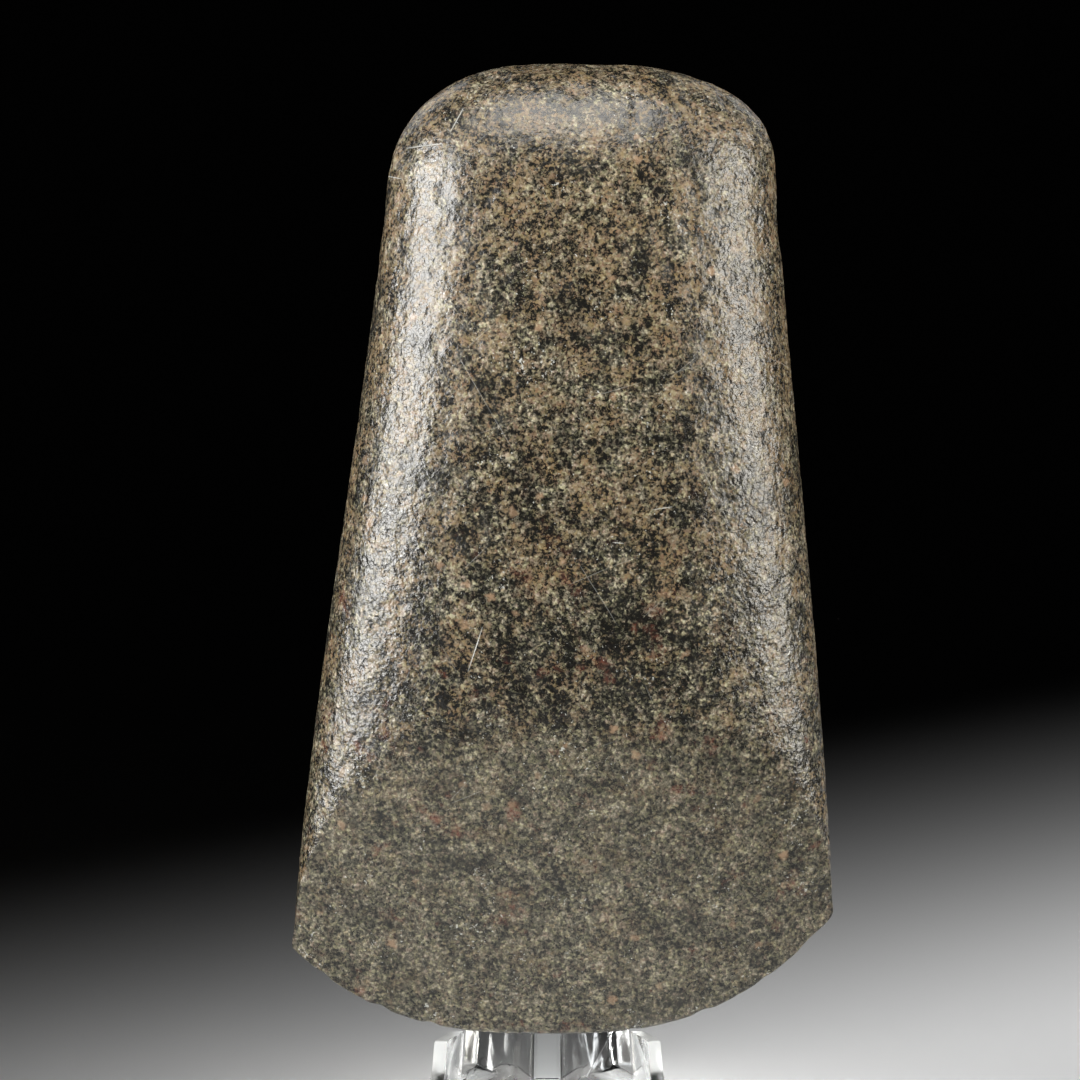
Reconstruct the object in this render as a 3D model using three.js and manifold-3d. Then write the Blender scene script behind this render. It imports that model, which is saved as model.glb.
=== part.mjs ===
// A polished stone axe head, standing on its cutting edge in a folded clear stand.
// Millimetres. +Z is up, +X is to the right, and the main face looks along -Y.
import * as THREE from 'three';
import { mergeVertices } from 'three/addons/utils/BufferGeometryUtils.js';
import Module from 'manifold-3d';

const manifoldLibrary = await Module();
manifoldLibrary.setup();
const { Manifold, Mesh: ManifoldMesh } = manifoldLibrary;

const { degToRad, clamp, lerp } = THREE.MathUtils;

// ---------------------------------------------------------------------------------------------------------
// Driving dimensions
// ---------------------------------------------------------------------------------------------------------

// The axe head, in its own frame: the lowest point of the cutting edge is near the origin, the butt is up.
const AXE_LENGTH = 200;
const AXE_LEAN = degToRad(5);

// Each side runs from the blade to the butt in one slow curve, and ends in a rounded shoulder.
const SIDE_START = 20;
const SIDE_END = 173;
const LEFT_SIDE = {
  blade: 56,
  butt: 36.8,
  bladeSlope: -0.07,
  buttSlope: -0.1,
  shoulder: 27,
  corner: 1.5,
};
const RIGHT_SIDE = {
  blade: 55.6,
  butt: 43.8,
  bladeSlope: -0.035,
  buttSlope: -0.07,
  shoulder: 22,
  corner: 3.5,
};
const SHOULDER_POWER = 2.5;

// The cutting edge is an arc that is flat in the middle and rises faster towards the corners.
const EDGE_MIDDLE = -3;
const EDGE_REACH = 50;
const EDGE_RISE = 14.5;
const EDGE_POWER = 2.8;
const EDGE_BLUNTNESS = 0.5;
const EDGE_FADE_HEIGHT = 90;
const EDGE_FADE_POWER = 1.5;

// The body's half thickness is greatest at the belly and closes in a blunt dome at the butt.
const BELLY_HALF_THICKNESS = 23;
const BELLY_HEIGHT = 115;
const BELLY_SPAN = 48;
const BELLY_FALL = 2.5;
const BUTT_DOME = 25;
const BUTT_DOME_POWER = 2.2;

// The cross-section is a rounded rectangle above the blade, and closer to an ellipse at the butt.
const SECTION_AT_BLADE = { width: 3.5, thickness: 3.1 };
const SECTION_AT_BUTT = { width: 2.5, thickness: 2.2 };

// Each face is ground down to the edge in one long, slightly rounded facet. It meets the body in a ridge.
const FRONT_GRIND = { slope: 0.36, flattening: 0.00082 };
const BACK_GRIND = { slope: 0.4, flattening: 0.001 };
const RIDGE_SHARPNESS = 20;

const RINGS = 56;
const RING_POINTS = 72;

// The stand: one clear sheet folded twice, with its side profile cut out of both wings at once.
const SHEET = 2.6;
const SEAT_HEIGHT = 20;
const STAND_OFFSET_X = -3.5;
const WING_TAPER = 0.3;
const POST_FRONT = -9.5;
const POST_DEPTH = 11;
const POST_UPRIGHT = 8.5;
const FOOT_FRONT = -17;
const TOE_HEIGHT = 1.5;
const SLOT_DEPTH_BACK = 10;
const SLOT_DROP = 9.3;
const ARM_REST_LEVEL = 62;
const ARM_TIP_HEIGHT = 66;
const ARM_TIP_WIDTH = 7;
const SPINE_REAR = 52;
const SPINE_HEIGHT = 34;
const SPINE_FLAT_HALF = 2;
const FOLD_RADIUS = 2.3;
const ARCH_RISE = 4;
const FOOT_LENGTH = 12;
const WING_SPLAY = 0.004;
const CUT_RADIUS = 1.2;

// Pieces that touch keep this gap, so that no two solids share a face.
const TOUCH_GAP = 0.3;

// ---------------------------------------------------------------------------------------------------------
// Materials
// ---------------------------------------------------------------------------------------------------------

const speckledStone = new THREE.MeshStandardMaterial({ color: 0x57524a, roughness: 0.42, metalness: 0 });
const clearAcrylic = new THREE.MeshStandardMaterial({
  color: 0xe8eeee,
  roughness: 0.06,
  metalness: 0,
  transparent: true,
  opacity: 0.35,
});

// ---------------------------------------------------------------------------------------------------------
// Axe head
// ---------------------------------------------------------------------------------------------------------

// A fall from 1 to 0 along a superellipse quadrant, for share 0 to 1.
function quadrant(share, power, endPower = power) {
  return Math.pow(Math.max(0, 1 - Math.pow(clamp(share, 0, 1), power)), 1 / endPower);
}

// How far the outline stands from the long axis on one side, at a height.
function sideReach(side, height) {
  const run = SIDE_END - SIDE_START;
  const t = (height - SIDE_START) / run;
  const straight = lerp(side.blade, side.butt, t * t * (3 - 2 * t));
  const bend = run * (side.bladeSlope * t * (1 - t) * (1 - t) - side.buttSlope * t * t * (1 - t));
  const shoulderStart = AXE_LENGTH - side.shoulder;
  return (straight + bend) * quadrant((height - shoulderStart) / side.shoulder, SHOULDER_POWER);
}

// How high the cutting edge is above its lowest point.
function edgeRise(x) {
  return EDGE_RISE * Math.pow(Math.abs(x - EDGE_MIDDLE) / EDGE_REACH, EDGE_POWER);
}

// Half the thickness of the body before it is ground, from one side (across is -1 to 1) to the other.
function bodyHalfThickness(across, height) {
  const belly = BELLY_HALF_THICKNESS - BELLY_FALL * Math.pow((height - BELLY_HEIGHT) / BELLY_SPAN, 2);
  const dome = quadrant((height - (AXE_LENGTH - BUTT_DOME)) / BUTT_DOME, BUTT_DOME_POWER);
  const upward = clamp(height / AXE_LENGTH, 0, 1);
  const width = lerp(SECTION_AT_BLADE.width, SECTION_AT_BUTT.width, upward);
  const thickness = lerp(SECTION_AT_BLADE.thickness, SECTION_AT_BUTT.thickness, upward);
  return belly * dome * quadrant(Math.abs(across), width, thickness);
}

// Half the thickness that the grinding leaves, at a distance above the cutting edge.
function groundHalfThickness(grind, distance) {
  const blunt = EDGE_BLUNTNESS * (1 - Math.exp(-distance / EDGE_BLUNTNESS));
  return blunt + distance * (grind.slope - grind.flattening * distance);
}

// The lesser of two thicknesses, with a softened ridge where they are equal.
function softLesser(a, b) {
  const least = Math.min(a, b);
  if (least <= 0) return 0;
  const ratio = least / Math.max(a, b);
  return least * Math.pow(1 + Math.pow(ratio, RIDGE_SHARPNESS), -1 / RIDGE_SHARPNESS);
}

// A point of the surface: across is -1 to 1, level 0 to AXE_LENGTH, face -1 at the front and 1 at the back.
function axePoint(across, level, face) {
  const side = across < 0 ? LEFT_SIDE : RIGHT_SIDE;
  const rise = edgeRise(across * sideReach(side, Math.max(level, SIDE_START)));
  const fade = Math.pow(Math.max(0, 1 - level / EDGE_FADE_HEIGHT), EDGE_FADE_POWER);
  const height = Math.min(AXE_LENGTH, level + rise * fade);
  const distance = height - rise;
  const cornerShare = 1 - clamp(distance / side.corner, 0, 1);
  const cornerCut = side.corner * (1 - Math.sqrt(1 - cornerShare * cornerShare));
  const x = across * (sideReach(side, height) - cornerCut);
  const grind = face < 0 ? FRONT_GRIND : BACK_GRIND;
  const ground = groundHalfThickness(grind, Math.max(0, distance));
  return new THREE.Vector3(x, face * softLesser(bodyHalfThickness(across, height), ground), height);
}

// Rings of points from the cutting edge to the butt. The first ring is a line, and the last is one point.
function axeHeadGeometry() {
  const points = [];
  const half = RING_POINTS / 2;
  const ids = [];
  for (let ring = 0; ring <= RINGS; ring += 1) {
    const level = (AXE_LENGTH * (1 - Math.cos((Math.PI * ring) / RINGS))) / 2;
    const row = [];
    for (let step = 0; step < RING_POINTS; step += 1) {
      const isShared = (ring === 0 && step > half) || (ring === RINGS && step > 0);
      if (isShared) {
        row.push(ring === 0 ? row[RING_POINTS - step] : row[0]);
        continue;
      }
      const across = Math.cos((2 * Math.PI * step) / RING_POINTS);
      const onTip = step % half === 0;
      const point = axePoint(onTip ? Math.sign(across) : across, level, step < half ? -1 : 1);
      row.push(points.length);
      points.push(point);
    }
    ids.push(row);
  }
  const faces = [];
  for (let ring = 0; ring < RINGS; ring += 1) {
    for (let step = 0; step < RING_POINTS; step += 1) {
      const next = (step + 1) % RING_POINTS;
      const [a, b] = [ids[ring][step], ids[ring][next]];
      const [c, d] = [ids[ring + 1][next], ids[ring + 1][step]];
      if (a !== b) faces.push(a, d, b);
      if (c !== d) faces.push(b, d, c);
    }
  }
  const geometry = new THREE.BufferGeometry().setFromPoints(points);
  geometry.setIndex(faces);
  geometry.computeVertexNormals();
  return geometry;
}

// ---------------------------------------------------------------------------------------------------------
// Display stand
// ---------------------------------------------------------------------------------------------------------

// A closed outline through [x, y, radius] corners, each rounded by its radius.
function roundedOutline(corners) {
  const shape = new THREE.Shape();
  corners.forEach(([x, y, radius], index) => {
    const corner = new THREE.Vector2(x, y);
    const before = new THREE.Vector2(...corners.at(index - 1));
    const after = new THREE.Vector2(...corners[(index + 1) % corners.length]);
    const entry = corner.clone().add(before.sub(corner).setLength(radius));
    const exit = corner.clone().add(after.sub(corner).setLength(radius));
    if (index === 0) shape.moveTo(entry.x, entry.y);
    else shape.lineTo(entry.x, entry.y);
    shape.quadraticCurveTo(x, y, exit.x, exit.y);
  });
  return shape;
}

// The wings run straight forward and outward from the folds, by the taper for each millimetre of depth.
const taperAngle = Math.atan(WING_TAPER);
const foldY = SPINE_REAR - FOLD_RADIUS - SHEET / 2;

// How far a face of a wing stands from the middle, at a depth. The radius of its fold says which face.
function wingReach(foldRadius, depth) {
  const foldEndX = SPINE_FLAT_HALF + foldRadius * Math.cos(taperAngle);
  const foldEndY = foldY + foldRadius * Math.sin(taperAngle);
  return foldEndX + WING_TAPER * (foldEndY - depth);
}

// The folded sheet seen from above: a wing, a fold, a narrow spine, a fold and the other wing.
function sheetPlan() {
  const outer = FOLD_RADIUS + SHEET / 2;
  const inner = FOLD_RADIUS - SHEET / 2;
  const frontEnd = 2 * FOOT_FRONT;
  const outerEnd = new THREE.Vector2(wingReach(outer, frontEnd), frontEnd);
  const innerEnd = new THREE.Vector2(wingReach(inner, frontEnd), frontEnd);
  const shape = new THREE.Shape();
  shape.moveTo(outerEnd.x, outerEnd.y);
  shape.lineTo(innerEnd.x, innerEnd.y);
  shape.absarc(SPINE_FLAT_HALF, foldY, inner, taperAngle, Math.PI / 2, false);
  shape.absarc(-SPINE_FLAT_HALF, foldY, inner, Math.PI / 2, Math.PI - taperAngle, false);
  shape.lineTo(-innerEnd.x, innerEnd.y);
  shape.lineTo(-outerEnd.x, outerEnd.y);
  shape.absarc(-SPINE_FLAT_HALF, foldY, outer, Math.PI - taperAngle, Math.PI / 2, true);
  shape.absarc(SPINE_FLAT_HALF, foldY, outer, Math.PI / 2, taperAngle, true);
  return shape;
}

// How high the cutting edge is over its lowest point where it rests on the posts. It meets them first at
// their inner faces.
function seatRise() {
  return edgeRise(STAND_OFFSET_X + wingReach(FOLD_RADIUS - SHEET / 2, 0));
}

// A point of the leaning axe's back, as depth and height over the posts.
function leaningBack(level) {
  const point = axePoint(0, level, 1).applyAxisAngle(new THREE.Vector3(1, 0, 0), -AXE_LEAN);
  return new THREE.Vector2(point.y, point.z + TOUCH_GAP - seatRise());
}

// The depth of the arms' front edges at a height over the posts. They form a straight line, and the axe's
// back leans on it.
function armRestDepth(height) {
  const rest = leaningBack(ARM_REST_LEVEL);
  const direction = leaningBack(ARM_REST_LEVEL + 1).sub(rest).normalize();
  const slope = direction.x / direction.y;
  return rest.x + TOUCH_GAP / direction.y + slope * (height - rest.y);
}

// The side profile of both wings, in depth and height: foot, post, slot, arm, spine, foot and arch.
function wingProfile() {
  const seat = SEAT_HEIGHT;
  const postBack = POST_FRONT + POST_DEPTH;
  const armFront = postBack + SLOT_DEPTH_BACK;
  const tipFront = armRestDepth(ARM_TIP_HEIGHT);
  const kneeHeight = ((armFront - armRestDepth(0)) * ARM_TIP_HEIGHT) / (tipFront - armRestDepth(0));
  return roundedOutline([
    [FOOT_FRONT, 0, CUT_RADIUS / 3],
    [FOOT_FRONT, TOE_HEIGHT, CUT_RADIUS / 2],
    [POST_FRONT, seat - POST_UPRIGHT, 2 * CUT_RADIUS],
    [POST_FRONT, seat, CUT_RADIUS / 2],
    [postBack, seat, CUT_RADIUS / 2],
    [postBack, seat - SLOT_DROP, CUT_RADIUS],
    [armFront, seat - SLOT_DROP, CUT_RADIUS],
    [armFront, seat + kneeHeight, 2 * CUT_RADIUS],
    [tipFront, seat + ARM_TIP_HEIGHT, CUT_RADIUS],
    [tipFront + ARM_TIP_WIDTH, seat + ARM_TIP_HEIGHT, 2 * CUT_RADIUS],
    [SPINE_REAR, seat + SPINE_HEIGHT, CUT_RADIUS],
    [SPINE_REAR, 0, CUT_RADIUS / 3],
    [SPINE_REAR - FOOT_LENGTH, 0, CUT_RADIUS / 3],
    [SPINE_REAR - FOOT_LENGTH - ARCH_RISE, ARCH_RISE, 2 * CUT_RADIUS],
    [FOOT_FRONT + FOOT_LENGTH + ARCH_RISE, ARCH_RISE, 2 * CUT_RADIUS],
    [FOOT_FRONT + FOOT_LENGTH, 0, CUT_RADIUS / 3],
  ]);
}

// A closed solid from an extruded outline, turned by a matrix.
function extrudedSolid(shape, depth, matrix) {
  const geometry = new THREE.ExtrudeGeometry(shape, { depth, bevelEnabled: false, curveSegments: 6 });
  geometry.deleteAttribute('normal');
  geometry.deleteAttribute('uv');
  const merged = mergeVertices(geometry.applyMatrix4(matrix), 1e-4);
  const mesh = new ManifoldMesh({
    numProp: 3,
    vertProperties: merged.getAttribute('position').array,
    triVerts: Uint32Array.from(merged.index.array),
  });
  mesh.merge();
  return Manifold.ofMesh(mesh);
}

// Both wings and the spine at once: the folded sheet, cut to the side profile.
function displayStandGeometry() {
  const height = SEAT_HEIGHT + ARM_TIP_HEIGHT + 2 * SHEET;
  const width = 4 * wingReach(FOLD_RADIUS, FOOT_FRONT);
  const upright = new THREE.Matrix4().makeTranslation(0, 0, -SHEET);
  const sideways = new THREE.Matrix4()
    .makeBasis(new THREE.Vector3(0, 1, 0), new THREE.Vector3(0, 0, 1), new THREE.Vector3(1, 0, 0))
    .setPosition(-width / 2, 0, 0);
  const folded = extrudedSolid(sheetPlan(), height, upright);
  const profile = extrudedSolid(wingProfile(), width, sideways);
  const mesh = folded.intersect(profile).getMesh();
  const geometry = new THREE.BufferGeometry();
  geometry.setAttribute('position', new THREE.BufferAttribute(mesh.vertProperties, mesh.numProp));
  geometry.setIndex(new THREE.BufferAttribute(mesh.triVerts, 1));
  const place = geometry.getAttribute('position');
  for (let index = 0; index < place.count; index += 1) {
    const splay = 1 + WING_SPLAY * (SEAT_HEIGHT - place.getZ(index));
    place.setX(index, place.getX(index) * splay);
  }
  geometry.computeVertexNormals();
  return geometry;
}

// ---------------------------------------------------------------------------------------------------------
// The whole part
// ---------------------------------------------------------------------------------------------------------

// The blade rests on the posts and the back on the arms.
const axeHead = new THREE.Mesh(axeHeadGeometry(), speckledStone);
axeHead.name = 'axe_head';
axeHead.rotation.x = -AXE_LEAN;

const displayStand = new THREE.Mesh(displayStandGeometry(), clearAcrylic);
displayStand.name = 'display_stand';
displayStand.position.x = STAND_OFFSET_X;

axeHead.position.z = SEAT_HEIGHT + TOUCH_GAP - seatRise();

const group = new THREE.Group();
group.add(axeHead, displayStand);

// The origin is the middle of the footprint of the whole part, on the surface that it stands on.
const box = new THREE.Box3().setFromObject(group, true);
const footprintMiddle = box.getCenter(new THREE.Vector3()).setZ(box.min.z);
for (const piece of group.children) piece.position.sub(footprintMiddle);

export default group;
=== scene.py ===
"""The polished stone axe head and its clear stand, dressed in their finishes and set in a small studio."""

import logging
import math
from dataclasses import dataclass, field
from enum import Enum
from functools import reduce
from typing import Callable, Optional, Sequence, Union

import bmesh
import bpy
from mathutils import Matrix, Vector
from mathutils.bvhtree import BVHTree


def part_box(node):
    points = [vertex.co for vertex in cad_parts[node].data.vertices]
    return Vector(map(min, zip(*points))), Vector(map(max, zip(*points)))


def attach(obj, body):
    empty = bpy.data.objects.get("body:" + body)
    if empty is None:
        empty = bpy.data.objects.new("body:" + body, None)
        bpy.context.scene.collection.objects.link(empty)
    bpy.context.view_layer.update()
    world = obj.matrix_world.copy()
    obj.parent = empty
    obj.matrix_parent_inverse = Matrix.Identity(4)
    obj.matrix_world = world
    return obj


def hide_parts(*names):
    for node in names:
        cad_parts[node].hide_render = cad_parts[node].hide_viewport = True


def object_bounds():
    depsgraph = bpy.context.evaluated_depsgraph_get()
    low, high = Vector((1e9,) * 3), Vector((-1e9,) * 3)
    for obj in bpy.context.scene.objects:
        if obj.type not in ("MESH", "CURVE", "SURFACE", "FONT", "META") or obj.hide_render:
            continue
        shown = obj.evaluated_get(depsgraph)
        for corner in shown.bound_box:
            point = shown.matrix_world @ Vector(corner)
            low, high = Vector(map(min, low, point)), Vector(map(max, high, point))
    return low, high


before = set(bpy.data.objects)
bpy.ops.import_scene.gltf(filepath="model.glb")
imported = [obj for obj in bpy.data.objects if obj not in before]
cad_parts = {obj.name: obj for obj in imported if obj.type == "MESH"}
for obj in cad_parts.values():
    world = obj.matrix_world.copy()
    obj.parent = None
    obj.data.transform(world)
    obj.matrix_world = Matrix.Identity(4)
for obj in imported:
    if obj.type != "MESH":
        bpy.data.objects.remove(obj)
CAD_LOW, CAD_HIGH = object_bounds()

LOG = logging.getLogger("polished_stone_axe")
ROOT_BODY = "root"
MILLIMETRE = 0.001

Triple = tuple[float, float, float]
Range = tuple[float, float]


# ----------------------------------------------------------------------------------------------------------
# Reckoning with nodes
# ----------------------------------------------------------------------------------------------------------


class Craft:
    """A node tree, with short ways to add nodes to it and to plug values into them."""

    def __init__(self, tree: bpy.types.NodeTree) -> None:
        """Keeps the tree that the nodes go into."""
        self.tree = tree

    @staticmethod
    def inlet(node: bpy.types.Node, name: Union[str, int]) -> bpy.types.NodeSocket:
        """Finds an input.

        Args:
            node: The node that has it.
            name: The socket's name or its number.

        Returns:
            The input of that name that the node's settings leave in use.
        """
        if isinstance(name, int):
            return node.inputs[name]
        return next(socket for socket in node.inputs if socket.name == name and socket.enabled)

    def plug(self, value: "Value", inlet: bpy.types.NodeSocket) -> None:
        """Links a value that varies to an input, or sets a plain one on it."""
        if isinstance(value, (Field, Place)):
            self.tree.links.new(value.socket, inlet)
        elif isinstance(value, bpy.types.NodeSocket):
            self.tree.links.new(value, inlet)
        else:
            inlet.default_value = value

    def node(self, kind: str, inputs: Optional[dict] = None, **settings: object) -> bpy.types.Node:
        """Adds a node.

        Args:
            kind: Blender's name for the kind of node.
            inputs: What goes into its inputs, by name or number.
            settings: Its own settings.

        Returns:
            The new node.
        """
        made = self.tree.nodes.new(kind)
        for name, value in settings.items():
            setattr(made, name, value)
        for name, value in (inputs or {}).items():
            self.plug(value, self.inlet(made, name))
        return made

    def group_inputs(self) -> dict[str, bpy.types.NodeSocket]:
        """Gives the sockets through which the tree takes its inputs, by name."""
        return {socket.name: socket for socket in self.node("NodeGroupInput").outputs if socket.name}

    def noise(self, place: "Place", size: "Value", detail: float = 2.0,
              roughness: float = 0.5) -> tuple["Field", "Place"]:
        """Adds a soft noise.

        Args:
            place: Where it is read.
            size: How far apart its swells are, in the place's unit.
            detail: How many finer swells lie on the first.
            roughness: How strong the finer ones are.

        Returns:
            The noise as a number around 0.5, and as three of them that differ.
        """
        made = self.node("ShaderNodeTexNoise", {
            "Vector": place, "Scale": 1.0 / size, "Detail": detail, "Roughness": roughness})
        return Field(made.outputs[0]), Place(made.outputs[1])

    def cells(self, place: "Place", size: "Value") -> tuple["Field", "Place"]:
        """Adds a pattern of irregular cells.

        Args:
            place: Where it is read.
            size: How far apart the cells are, in the place's unit.

        Returns:
            The distance to the nearest cell's middle as a share of the size, and three random numbers for
            that cell.
        """
        made = self.node("ShaderNodeTexVoronoi", {"Vector": place, "Scale": 1.0 / size})
        return Field(made.outputs[0]), Place(made.outputs[1])

    def blend(self, share: "Value", first: "Value", second: "Value",
              mode: str = "MIX") -> bpy.types.NodeSocket:
        """Mixes two colours.

        Args:
            share: How much of the second colour there is.
            first: The colour at share 0.
            second: The colour at share 1.
            mode: Blender's name for the way they mix.

        Returns:
            The mixed colour.
        """
        made = self.node("ShaderNodeMix", data_type="RGBA", blend_type=mode, clamp_factor=True)
        self.plug(share, self.inlet(made, "Factor"))
        self.plug(opaque(first), self.inlet(made, "A"))
        self.plug(opaque(second), self.inlet(made, "B"))
        return next(socket for socket in made.outputs if socket.enabled)

    def ramp(self, share: "Field", stops: Sequence[tuple[float, Triple]]) -> bpy.types.NodeSocket:
        """Turns a number into a colour.

        Args:
            share: The number, from 0 to 1.
            stops: Numbers, each with its colour, in order.

        Returns:
            The colour between the nearest two stops.
        """
        made = self.node("ShaderNodeValToRGB", {"Fac": share})
        band = made.color_ramp.elements
        while len(band) < len(stops):
            band.new(1.0)
        for element, (position, colour) in zip(band, stops):
            element.position, element.color = position, (*colour, 1.0)
        return made.outputs["Color"]


def reckoner(operation: str, flipped: bool = False) -> Callable[..., "Field"]:
    """Makes a method that adds one math node, in the tree that its field is in.

    Args:
        operation: Blender's name for what the node does.
        flipped: Whether the field comes after the other value.

    Returns:
        The method.
    """

    def reckon(self: "Field", *others: "Value") -> "Field":
        """Gives what the operation makes of the field and the other value."""
        values = dict(enumerate((*others, self) if flipped else (self, *others)))
        made = Craft(self.socket.id_data).node("ShaderNodeMath", values, operation=operation)
        return Field(made.outputs[0])

    return reckon


@dataclass(frozen=True)
class Field:
    """A number that varies from place to place: an output that can be added, multiplied and compared.

    over gives 1 where the field is more than the limit and 0 elsewhere. at_least gives the greater of the
    field and the limit, and at_most the lesser. exponent gives e to the power of the field.
    """

    socket: bpy.types.NodeSocket

    __add__ = reckoner("ADD")
    __radd__ = reckoner("ADD", flipped=True)
    __sub__ = reckoner("SUBTRACT")
    __rsub__ = reckoner("SUBTRACT", flipped=True)
    __mul__ = reckoner("MULTIPLY")
    __rmul__ = reckoner("MULTIPLY", flipped=True)
    __truediv__ = reckoner("DIVIDE")
    __rtruediv__ = reckoner("DIVIDE", flipped=True)
    __pow__ = reckoner("POWER")
    __abs__ = reckoner("ABSOLUTE")
    floor = reckoner("FLOOR")
    cosine = reckoner("COSINE")
    exponent = reckoner("EXPONENT")
    over = reckoner("GREATER_THAN")
    at_least = reckoner("MAXIMUM")
    at_most = reckoner("MINIMUM")

    def clamped(self) -> "Field":
        """Gives self, kept from 0 to 1."""
        return self.at_least(0.0).at_most(1.0)

    def eased(self, low: float, high: float) -> "Field":
        """Gives a smooth rise from 0 to 1.

        Args:
            low: Where self begins to count.
            high: Where it counts in full. It may be below low, for a fall.

        Returns:
            The rise.
        """
        start, end, first, last = (low, high, 0.0, 1.0) if low < high else (high, low, 1.0, 0.0)
        made = Craft(self.socket.id_data).node(
            "ShaderNodeMapRange",
            {"Value": self, "From Min": start, "From Max": end, "To Min": first, "To Max": last},
            interpolation_type="SMOOTHSTEP")
        return Field(made.outputs[0])


@dataclass(frozen=True)
class Place:
    """A point or direction that varies from place to place, as three numbers in one socket."""

    socket: bpy.types.NodeSocket

    def _reckon(self, operation: str, outlet: str, *values: "Value") -> bpy.types.NodeSocket:
        """Adds a vector math node on self and these values, and gives one of its outputs."""
        inputs = dict(enumerate((self, *values)))
        made = Craft(self.socket.id_data).node("ShaderNodeVectorMath", inputs, operation=operation)
        return made.outputs[outlet]

    def __add__(self, other: "Value") -> "Place":
        """Gives self + other."""
        return Place(self._reckon("ADD", "Vector", other))

    def __sub__(self, other: "Value") -> "Place":
        """Gives self - other."""
        return Place(self._reckon("SUBTRACT", "Vector", other))

    def __mul__(self, other: "Value") -> "Place":
        """Gives self * other, number by number."""
        return Place(self._reckon("MULTIPLY", "Vector", other))

    def length(self) -> Field:
        """Gives how long self is."""
        return Field(self._reckon("LENGTH", "Value"))

    def along(self, direction: Triple) -> Field:
        """Gives how far self reaches along a direction."""
        return Field(self._reckon("DOT_PRODUCT", "Value", direction))

    def parts(self) -> tuple[Field, Field, Field]:
        """Gives the three numbers of self."""
        made = Craft(self.socket.id_data).node("ShaderNodeSeparateXYZ", {0: self})
        return tuple(Field(socket) for socket in made.outputs)


Value = Union[Field, Place, bpy.types.NodeSocket, float, int, Sequence[float]]


@dataclass(frozen=True)
class Swell:
    """A soft noise: how far apart its swells are, how fine and rough it goes, and how far it is shifted."""

    size: float
    detail: float = 2.0
    roughness: float = 0.5
    shift: Triple = (0.0, 0.0, 0.0)

    def read(self, craft: Craft, place: Place) -> Field:
        """Gives the noise at a place, as a number around 0.5."""
        return craft.noise(place + self.shift, self.size, self.detail, self.roughness)[0]

    def bend(self, craft: Craft, place: Place, reach: float) -> Place:
        """Shifts a place this way and that, by half of reach at most."""
        _, bent = craft.noise(place + self.shift, self.size, self.detail, self.roughness)
        return place + (bent - (0.5, 0.5, 0.5)) * (reach, reach, reach)


def joined(x: Value, y: Value, z: Value, craft: Craft) -> Place:
    """Makes one place of three numbers."""
    return Place(craft.node("ShaderNodeCombineXYZ", {0: x, 1: y, 2: z}).outputs[0])


def opaque(colour: Value) -> Value:
    """Gives a plain colour its full alpha, and leaves any other value as it is."""
    return (*colour, 1.0) if isinstance(colour, tuple) and len(colour) == 3 else colour


def either(second: Field, first_value: float, second_value: float) -> Field:
    """Gives one number where the field is 0 and another where it is 1."""
    return first_value + second * (second_value - first_value)


def quadrant(share: Field, power: Value, end_power: Optional[Value] = None) -> Field:
    """Gives the fall from 1 to 0 along a superellipse quadrant.

    Args:
        share: How far along it is, from 0 to 1.
        power: The superellipse's power along.
        end_power: Its power across, where that differs.

    Returns:
        The height of the quadrant's curve.
    """
    last = power if end_power is None else end_power
    return (1.0 - share.clamped() ** power).at_least(0.0) ** (1.0 / last)


# ----------------------------------------------------------------------------------------------------------
# Shared effects
# ----------------------------------------------------------------------------------------------------------


class Effect(Enum):
    """The node groups that more than one finish uses."""

    SCRATCHES = "fine_scratches"
    SMUDGES = "soft_smudges"


def shader_group(name: str, inputs: Sequence[tuple[str, str, object]], outputs: Sequence[str]) -> Craft:
    """Starts a shader node group.

    Args:
        name: The group's name.
        inputs: Each input's name, its kind of socket and what it is when nothing is plugged in.
        outputs: The names of the outputs, which are all numbers.

    Returns:
        The craft of the new group's tree.
    """
    tree = bpy.data.node_groups.new(name, "ShaderNodeTree")
    for label, kind, value in inputs:
        socket = tree.interface.new_socket(name=label, in_out="INPUT", socket_type=kind)
        if value is not None:
            socket.default_value = value
    for label in outputs:
        tree.interface.new_socket(name=label, in_out="OUTPUT", socket_type="NodeSocketFloat")
    return Craft(tree)


@dataclass(frozen=True)
class HairlineScratches:
    """Fine hairline scratches: thin curved sheets that cut the surface here and there."""

    directions: tuple[Triple, ...] = ((0.83, 0.31, 0.46), (-0.28, 0.42, 0.86), (0.62, -0.35, -0.7))
    bend: Triple = (6.0, 6.0, 6.0)
    bend_spacing: float = 2.0
    patch_spacing: float = 0.45
    kept_from: Range = (0.78, 0.9)

    def group(self) -> bpy.types.NodeTree:
        """Makes the group."""
        craft = shader_group(
            Effect.SCRATCHES.value,
            [("Place", "NodeSocketVector", None), ("Spacing", "NodeSocketFloat", 20.0),
             ("Width", "NodeSocketFloat", 0.1), ("Share", "NodeSocketFloat", 0.3)],
            ["Mask"])
        taken = craft.group_inputs()
        place, spacing = Place(taken["Place"]), Field(taken["Spacing"])
        width, share = Field(taken["Width"]), Field(taken["Share"])
        lines = []
        for direction in self.directions:
            _, bent = craft.noise(place, spacing * self.bend_spacing, detail=1.0)
            run = (place + bent * self.bend).along(direction) / spacing
            off = abs(run - run.floor() - 0.5) * spacing
            patch, _ = craft.noise(place + direction, spacing * self.patch_spacing, detail=1.0)
            lines.append((1.0 - (off / width).clamped()) * (patch + share).eased(*self.kept_from))
        craft.node("NodeGroupOutput", {"Mask": reduce(Field.at_least, lines)})
        return craft.tree


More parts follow.
